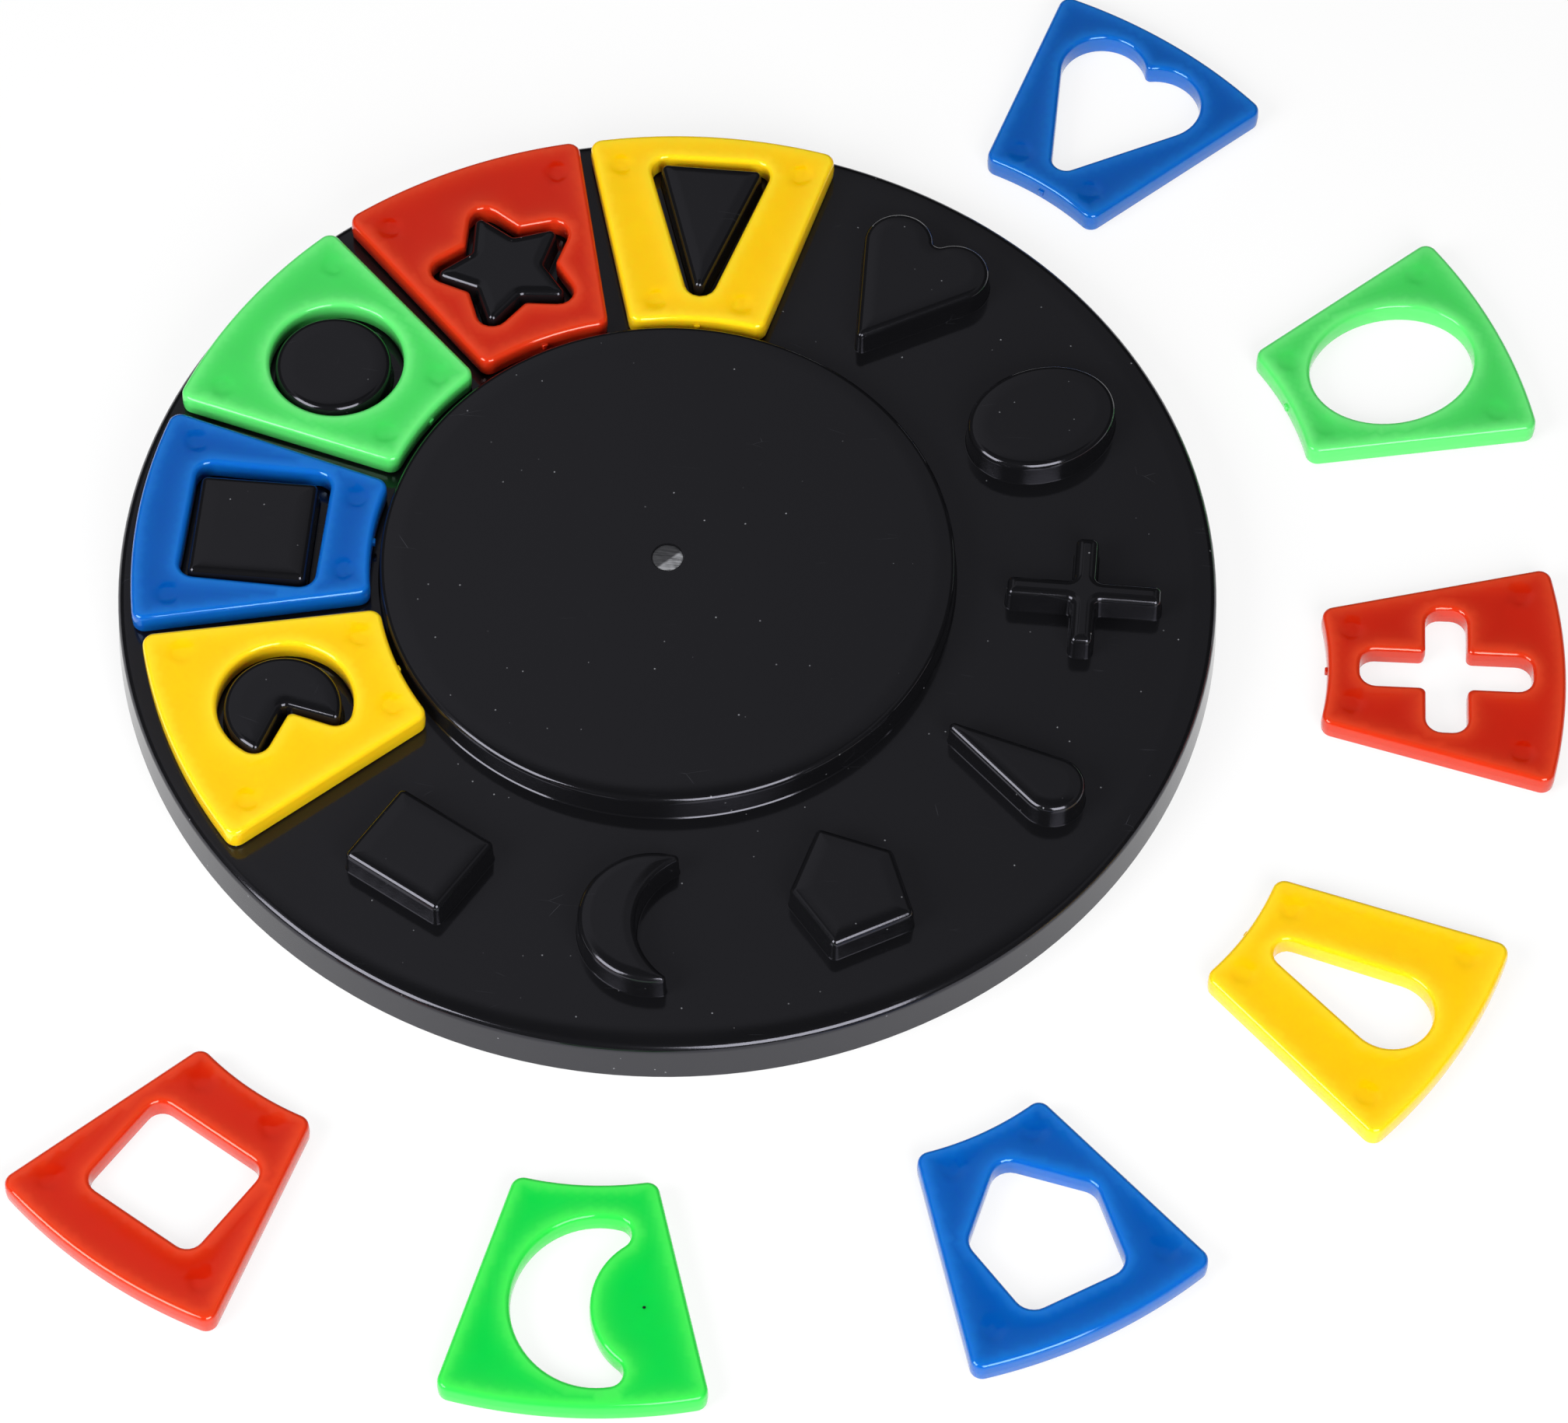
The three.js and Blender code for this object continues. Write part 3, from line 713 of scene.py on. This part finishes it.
def makeScar(material):
    # A ragged disc left in the gate's recess, higher towards the back left
    deep = board["height"] + board["raised"] - board["gateDepth"]
    step = 2 * math.pi / scar["turns"]
    rings = []
    for i in range(scar["rings"] + 1):
        radius = scar["radius"] * (1 - i / (scar["rings"] + 1))
        angles = [k * step for k in range(scar["turns"])]
        circle = [(radius * math.cos(a), radius * math.sin(a)) for a in angles]
        rings.append((circle, deep + scar["lift"]))
    piece = wallOf("gateScar", [(rings[0][0], deep - scar["root"])] + rings)
    capped(piece)
    for v in piece.data.vertices:
        if v.co.z > deep * mm:
            x, y = v.co.x / mm, v.co.y / mm
            spot = Vector((x / scar["size"], y / scar["size"], scar["seed"]))
            tear = scar["rough"] * noise.noise(spot)
            beyond = max(0, math.hypot(x, y) / scar["radius"] - scar["edgeFrom"])
            edge = scar["edgeDrop"] * beyond / scar["edgeShare"]
            slope = scar["tilt"] * (x - y) / scar["diagonal"] * (x > y)
            v.co.z += (tear - slope - edge) * mm
    tidied(piece, scar["smoothAngle"])
    piece.data.materials.append(material)
    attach(piece, "board")


# The tiles: a seated one's shift on its peg as a share of the clearance, a loose one's distance and
# bearing from the board's middle, and the turn from its peg's axis in degrees
tiles = [
    {"node": "triangle", "shape": triangleShape, "sector": 3, "seat": (0.04, -0.05), "turn": 0.902,
     "colour": "yellow", "crown": 2.4},
    {"node": "heart", "shape": heartShape, "sector": 2, "away": (93.66, 57.37), "turn": -1.77,
     "colour": "blue", "crown": 3.2},
    {"node": "ellipse", "shape": ellipseShape, "sector": 1, "away": (103.065, 23.39), "turn": -2.27,
     "colour": "green", "crown": 4.0},
    {"node": "cross", "shape": crossShape, "sector": 0, "away": (100.74, -6.73), "turn": 2.13,
     "colour": "red", "crown": 0.5},
    {"node": "teardrop", "shape": dropShape, "sector": 11, "away": (107.655, -31.15), "turn": 1.1,
     "colour": "yellow", "crown": 2.6},
    {"node": "pentagon", "shape": pentagonShape, "sector": 10, "away": (108.135, -60.25), "turn": 2.37,
     "colour": "blue", "crown": 3.6, "clearance": 3.3},
    {"node": "crescent", "shape": crescentShape, "sector": 9, "away": (106.245, -93.98), "turn": 2.43,
     "colour": "lightGreen", "crown": 1.8, "holeShift": (1.85, -1.7), "stretch": 1.08},
    {"node": "rectangle", "shape": rectangleShape, "sector": 8, "away": (109.725, -117.68), "turn": -1.5,
     "colour": "red", "crown": 3.6},
    {"node": "notched_disc", "shape": notchedShape, "sector": 7, "seat": (-0.5, -0.56), "turn": -2.398,
     "colour": "yellow", "crown": 3.2},
    {"node": "square", "shape": squareShape, "sector": 6, "seat": (-0.17, -0.68), "turn": -1.496,
     "colour": "blue", "crown": 3.8},
    {"node": "circle", "shape": circleShape, "sector": 5, "seat": (0.15, -0.8), "turn": 0,
     "colour": "green", "crown": 3.8},
    {"node": "star", "shape": starShape, "sector": 4, "seat": (0.29, -0.4), "turn": -1.791,
     "colour": "red", "crown": 1.6},
]


def tilePlace(item):
    axis, turn = item["sector"] * sector, math.radians(item["turn"])
    if "away" in item:
        distance, bearing = item["away"]
        bearing = math.radians(bearing)
        return distance * math.cos(bearing), distance * math.sin(bearing), 0, axis + turn
    out = pegCircle + tile["clearance"] * item["seat"][0] - pegCircle * math.cos(turn)
    around = tile["clearance"] * item["seat"][1] - pegCircle * math.sin(turn)
    x = out * math.cos(axis) - around * math.sin(axis)
    y = out * math.sin(axis) + around * math.cos(axis)
    return x, y, board["height"] + tile["overDeck"], axis + turn


def edgeRings(outline):
    # From the bottom face round the low edge, up both halves of the wall, and round the top edge
    height, draft, steps = tile["thickness"], tile["draft"], tile["filletSteps"]
    low, high = tile["lowFillet"], tile["fillet"]
    rings = []
    for i in range(steps + 1):
        a = math.pi / 2 * i / steps
        rings.append((draft + low * (1 - math.sin(a)), low * (1 - math.cos(a))))
    rings += [(tile["partingInset"], height * share) for share in tile["partingShares"]]
    for i in range(steps + 1):
        a = math.pi / 2 * i / steps
        rings.append((draft + high * (1 - math.cos(a)), height - high * (1 - math.sin(a))))
    return [(outline(inset), z) for inset, z in rings]


def inside(points, polygon):
    x, y = points[:, 0], points[:, 1]
    result = np.zeros(len(points), bool)
    for (ax, ay), (bx, by) in zip(polygon, polygon[1:] + polygon[:1]):
        crosses = (ay > y) != (by > y)
        with np.errstate(divide="ignore", invalid="ignore"):
            result ^= crosses & (x < (bx - ax) * (y - ay) / (by - ay) + ax)
    return result


def nearest(points, polygon):
    # How far each point lies from the polygon's sides
    start = np.asarray(polygon)
    side = np.roll(start, -1, 0) - start
    away = points[:, None, :] - start[None, :, :]
    along = np.clip((away * side).sum(2) / (side ** 2).sum(1), 0, 1)
    return np.sqrt(((away - along[:, :, None] * side) ** 2).sum(2)).min(1)


def skinBetween(name, outer, hole, height, sink, pins):
    # A face between two outlines that sinks within a few millimetres of them, as thick plastic does
    # as it cools
    gap = tile["skinGap"]
    row, edge = gap * tile["rowShare"], gap * tile["edgeShare"]
    low, high = np.min(outer, 0), np.max(outer, 0)
    grid = []
    for j in range(int((high[1] - low[1]) / row) + 1):
        for i in range(int((high[0] - low[0]) / gap) + 1):
            grid.append((low[0] + gap * (i + 0.5 * (j % 2)), low[1] + row * j))
    grid = np.array(grid)
    keep = inside(grid, outer) & ~inside(grid, hole)
    keep &= (nearest(grid, outer) > edge) & (nearest(grid, hole) > edge)
    pinRings = []
    for px, py in pins:
        away = np.hypot(grid[:, 0] - px, grid[:, 1] - py)
        keep &= abs(away - tile["pinRadius"]) > tile["pinMargin"]
        for shift in (-tile["pinStep"], tile["pinStep"]):
            radius = tile["pinRadius"] + shift
            pinRings += arcOf(px, py, radius, 0, 2 * math.pi, tile["pinPoints"])[1:]
    points = outer + hole + [tuple(p) for p in grid[keep]] + pinRings
    n, m = len(outer), len(hole)
    edges = [(i, (i + 1) % n) for i in range(n)] + [(n + i, n + (i + 1) % m) for i in range(m)]
    spots = [Vector(p) for p in points]
    found, _, faces, *_ = delaunay_2d_cdt(spots, edges, [], 0, tile["sameSpot"])
    flat = np.array([tuple(p) for p in found])
    corners = flat[np.array([list(f) for f in faces])]
    middles = corners.mean(1)
    keep = inside(middles, outer) & ~inside(middles, hole)
    u, v = corners[:, 1] - corners[:, 0], corners[:, 2] - corners[:, 0]
    keep &= abs(u[:, 0] * v[:, 1] - u[:, 1] * v[:, 0]) > tile["leastArea"]
    faces = [tuple(f) for f, k in zip(faces, keep) if k]
    depth = filmDepth(flat, faces, n + m) * sink
    for px, py in pins:
        away = np.hypot(flat[:, 0] - px, flat[:, 1] - py)
        depth += tile["pinDepth"] * (away < tile["pinRadius"])
    mesh = bpy.data.meshes.new(name)
    sunk = [(x * mm, y * mm, (height - d) * mm) for (x, y), d in zip(flat, depth)]
    mesh.from_pydata(sunk, [], faces)
    skin = bpy.data.objects.new(name, mesh)
    bpy.context.collection.objects.link(skin)
    return skin


def filmDepth(flat, faces, edgeCount):
    # The sink as a share of its depth: a film held at the edges and drawn down everywhere else
    count = len(flat)
    stiffness, load = np.zeros((count, count)), np.zeros(count)
    for face in faces:
        for k in range(3):
            i, j, o = face[k], face[(k + 1) % 3], face[(k + 2) % 3]
            u, v = flat[i] - flat[o], flat[j] - flat[o]
            area = abs(u[0] * v[1] - u[1] * v[0])
            pull = u.dot(v) / area / 2
            stiffness[i, i] += pull
            stiffness[j, j] += pull
            stiffness[i, j] -= pull
            stiffness[j, i] -= pull
            share = area / 6 / tile["sinkReach"] ** 2
            load[i] += share
            stiffness[i, i] += share
    free = np.arange(edgeCount, count)
    used = free[stiffness[free, free] > 0]
    depth = np.zeros(count)
    depth[used] = np.linalg.solve(stiffness[np.ix_(used, used)], load[used])
    return depth


nub = {
    "long": 0.9, "wide": 1.5, "tall": 2.2, "out": 0.15, "height": 3.3, "flare": 0.3,
    "bevel": 0.3, "bevelSteps": 3,
}


def gateNub():
    # What is left of the gate at the middle of the inner arc
    nothingSelected()
    bpy.ops.mesh.primitive_cube_add(size=mm)
    piece = bpy.context.object
    for v in piece.data.vertices:
        x, y, z = v.co / mm
        v.co = ((tile["inner"] - nub["out"] + nub["long"] * x) * mm,
                nub["wide"] * (1 + nub["flare"] * z) * y * mm,
                (nub["height"] + nub["tall"] * z) * mm)
    modifier = piece.modifiers.new("Bevel", "BEVEL")
    modifier.width = nub["bevel"] * mm
    modifier.segments = nub["bevelSteps"]
    only(piece)
    bpy.ops.object.modifier_apply(modifier=modifier.name)
    return piece


def makeTile(item, material):
    x, y, z, turn = tilePlace(item)
    out, across = item.get("holeShift", (0, 0))
    clearance = item.get("clearance", tile["clearance"])

    def holeOutline(inset):
        shift = (pegCircle + out, across)
        return fineOutline(item["shape"], clearance + inset, shift, item.get("stretch", 1))

    outerRings = edgeRings(lambda inset: fineOutline(tileShape, -inset))
    holeRings = edgeRings(holeOutline)
    walls = [wallOf("outside", outerRings), wallOf("inside", holeRings)]
    outline, hole = outerRings[-1][0], holeRings[-1][0]
    clear = tile["pinRadius"] + tile["pinFromHole"]
    pins = []
    if item["node"] != "crescent":
        pins = [p for p in tile["pinSpots"] if nearest(np.array([p]), hole)[0] > clear]
    top = skinBetween("top", outline, hole, tile["thickness"], tile["sinkDepth"], pins)
    low = skinBetween("low", outerRings[0][0], holeRings[0][0], 0, -tile["lowSinkDepth"], [])
    piece = tidied(joined(walls + [top, low], "tile" + item["node"].title().replace("_", "")))
    piece = cutOrJoined(piece, gateNub(), "UNION")
    # How near each vertex is to an edge, for the painted edge glow in the material
    plan = np.array([(v.co.x / mm, v.co.y / mm) for v in piece.data.vertices])
    gaps = np.minimum(nearest(plan, outline), nearest(plan, hole))
    border = piece.data.attributes.new("border", "FLOAT", "POINT")
    border.data.foreach_set("value", np.exp(-gaps / tile["paintedGlowMm"]).astype(np.float32))
    for v in piece.data.vertices:
        (px, py), = placed([(v.co.x, v.co.y)], x * mm, y * mm, turn)
        v.co = (px, py, v.co.z + z * mm)
    tidied(piece)
    triangulated(piece)
    piece.data.materials.clear()
    piece.data.materials.append(material)
    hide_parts("tile_" + item["node"])
    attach(piece, item["node"] + "_tile")


speck = {
    "node": "crescent", "spot": (116.8, 17.1), "size": 0.42, "narrow": 0.8, "tall": 0.06,
    "sunk": 0.12, "swell": 0.5, "lumps": 1.3, "smoothAngle": 60,
}


def makeSpeck(material):
    # A bit of charred plastic caught in the top of the crescent's tile
    item, = [t for t in tiles if t["node"] == speck["node"]]
    x, y, z, turn = tilePlace(item)
    (px, py), = placed([speck["spot"]], x, y, turn)
    nothingSelected()
    bpy.ops.mesh.primitive_ico_sphere_add(subdivisions=3, radius=1)
    piece = bpy.context.object
    piece.name = "speck"
    for v in piece.data.vertices:
        size = speck["size"] * (1 + speck["swell"] * noise.noise(v.co * speck["lumps"]))
        v.co = ((px + size * v.co.x) * mm, (py + size * v.co.y * speck["narrow"]) * mm,
                (z + tile["thickness"] - speck["sunk"] + speck["tall"] * v.co.z) * mm)
    tidied(piece, speck["smoothAngle"])
    piece.data.materials.append(material)
    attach(piece, speck["node"] + "_tile")


# The floor, the room and the lamps, in metres and degrees
studio = {
    "floorSize": 6.0, "glowReach": (0.4, 1.2), "floorColour": 0.94, "floorGlow": 0.8,
    "lampSize": (0.95, 1.0), "lampPower": 26, "lampDistance": 1.7, "lampBearings": (-51, 28),
    "lampHeight": 33, "fillSize": (0.6, 0.6), "fillPower": 2.4, "fillSpot": (-0.03, 0.25, 0.95),
    "shades": [(0.66, 0.03), (0.7, 0.26), (0.88, 0.26), (0.905, 0.01)],
    "frontFade": (-0.25, 0.05), "front": 0.03, "sideFade": (-0.14, 0.05), "sides": (1.15, 0.6),
}


def makeFloor():
    # White paper that the camera and reflections see as plain white, apart from the soft shadow
    # round the object; far from it, where no shadow falls, the paper glows fully
    nothingSelected()
    bpy.ops.mesh.primitive_plane_add(size=studio["floorSize"], location=(0, 0, 0))
    floor = bpy.context.object
    floor.name = "floor"
    paper = plainMaterial("whitePaper")
    ray = addNode(paper, "ShaderNodeLightPath")
    seen = addNode(paper, "ShaderNodeMath", {
        "operation": "MAXIMUM", 0: (ray, "Is Camera Ray"), 1: (ray, "Is Glossy Ray")})
    through = addNode(paper, "ShaderNodeMath", {
        "operation": "MAXIMUM", 0: (seen, 0), 1: (ray, "Is Transmission Ray")})
    sheet = addNode(paper, "ShaderNodeBsdfDiffuse", {"Color": greyOf(studio["floorColour"])})
    glow = addNode(paper, "ShaderNodeEmission", {"Color": greyOf(1), "Strength": 1.0})
    spot = addNode(paper, "ShaderNodeTexCoord")
    away = addNode(paper, "ShaderNodeVectorMath", {"operation": "LENGTH", 0: (spot, "Object")})
    near, far = studio["glowReach"]
    glowing = addNode(paper, "ShaderNodeMapRange", {
        "From Min": near, "From Max": far, "To Min": studio["floorGlow"], "To Max": 1.0,
        "Value": (away, "Value")})
    share = addNode(paper, "ShaderNodeMath", {
        "operation": "MULTIPLY", 0: (through, 0), 1: (glowing, "Result")})
    mix = addNode(paper, "ShaderNodeMixShader", {"Fac": (share, 0), 1: (sheet, 0), 2: (glow, 0)})
    addNode(paper, "ShaderNodeOutputMaterial", {"Surface": (mix, 0)})
    floor.data.materials.append(paper)


def addLamp(name, size, power, place):
    data = bpy.data.lights.new(name, "AREA")
    data.shape = "RECTANGLE"
    data.size, data.size_y = size
    data.energy = power
    lamp = bpy.data.objects.new(name, data)
    bpy.context.collection.objects.link(lamp)
    lamp.matrix_world = place
    return lamp


def makeLamps():
    # Two softboxes in front, one to each side
    for bearing in studio["lampBearings"]:
        a, h = math.radians(bearing), math.radians(studio["lampHeight"])
        way = Vector((math.sin(a) * math.cos(h), -math.cos(a) * math.cos(h), math.sin(h)))
        aim = way.to_track_quat("Z", "Y").to_matrix().to_4x4()
        place = Matrix.Translation(way * studio["lampDistance"]) @ aim
        addLamp("softbox", studio["lampSize"], studio["lampPower"], place)
    # A fill above the board lights the colours and isn't mirrored in the black
    place = Matrix.Translation(Vector(studio["fillSpot"]))
    fill = addLamp("fill", studio["fillSize"], studio["fillPower"], place)
    fill.visible_glossy = False


def makeRoom():
    # What the gloss mirrors: a dim wall and ceiling with a grey band between them, brighter to the
    # left, and dark in front; the camera sees plain white
    world = bpy.data.worlds.new("room")
    world.use_nodes = True
    world.node_tree.nodes.clear()
    spot = addNode(world, "ShaderNodeTexCoord")
    axes = addNode(world, "ShaderNodeSeparateXYZ", {"Vector": (spot, "Generated")})
    rise = addNode(world, "ShaderNodeValToRGB", {"Fac": (axes, "Z")})
    stops = rise.color_ramp.elements
    for i, (height, level) in enumerate(studio["shades"]):
        stop = stops[i] if i < len(stops) else stops.new(height)
        stop.position = height
        stop.color = greyOf(level)
    low, high = studio["sideFade"]
    left, right = studio["sides"]
    lean = addNode(world, "ShaderNodeMapRange", {
        "From Min": low, "From Max": high, "To Min": left, "To Max": right, "Value": (axes, "X")})
    band = addNode(world, "ShaderNodeVectorMath", {
        "operation": "SCALE", 0: (rise, "Color"), "Scale": (lean, "Result")})
    low, high = studio["frontFade"]
    back = addNode(world, "ShaderNodeMapRange", {
        "From Min": low, "From Max": high, "Value": (axes, "Y")})
    walls = addNode(world, "ShaderNodeMix", {
        "data_type": "RGBA", "Factor": (back, "Result"),
        6: greyOf(studio["front"]), 7: (band, 0)})
    ray = addNode(world, "ShaderNodeLightPath")
    sky = addNode(world, "ShaderNodeMix", {
        "data_type": "RGBA", "Factor": (ray, "Is Camera Ray"), 6: (walls, 2), 7: greyOf(1)})
    room = addNode(world, "ShaderNodeBackground", {"Strength": 1.0, "Color": (sky, 2)})
    addNode(world, "ShaderNodeOutputWorld", {"Surface": (room, 0)})
    bpy.context.scene.world = world
    bpy.context.scene.view_settings.view_transform = "Standard"


makeCamera()
plainBlack = makeBlack()
makeBoard(plainBlack)
makeScar(makeTorn())
plastics = {colour: makeTilePlastic(colour) for colour in tileColours}
for item in tiles:
    makeTile(item, plastics[item["colour"]])
makeSpeck(plainBlack)
print("tiles moulded")
makeFloor()
makeLamps()
makeRoom()
print("studio lit")
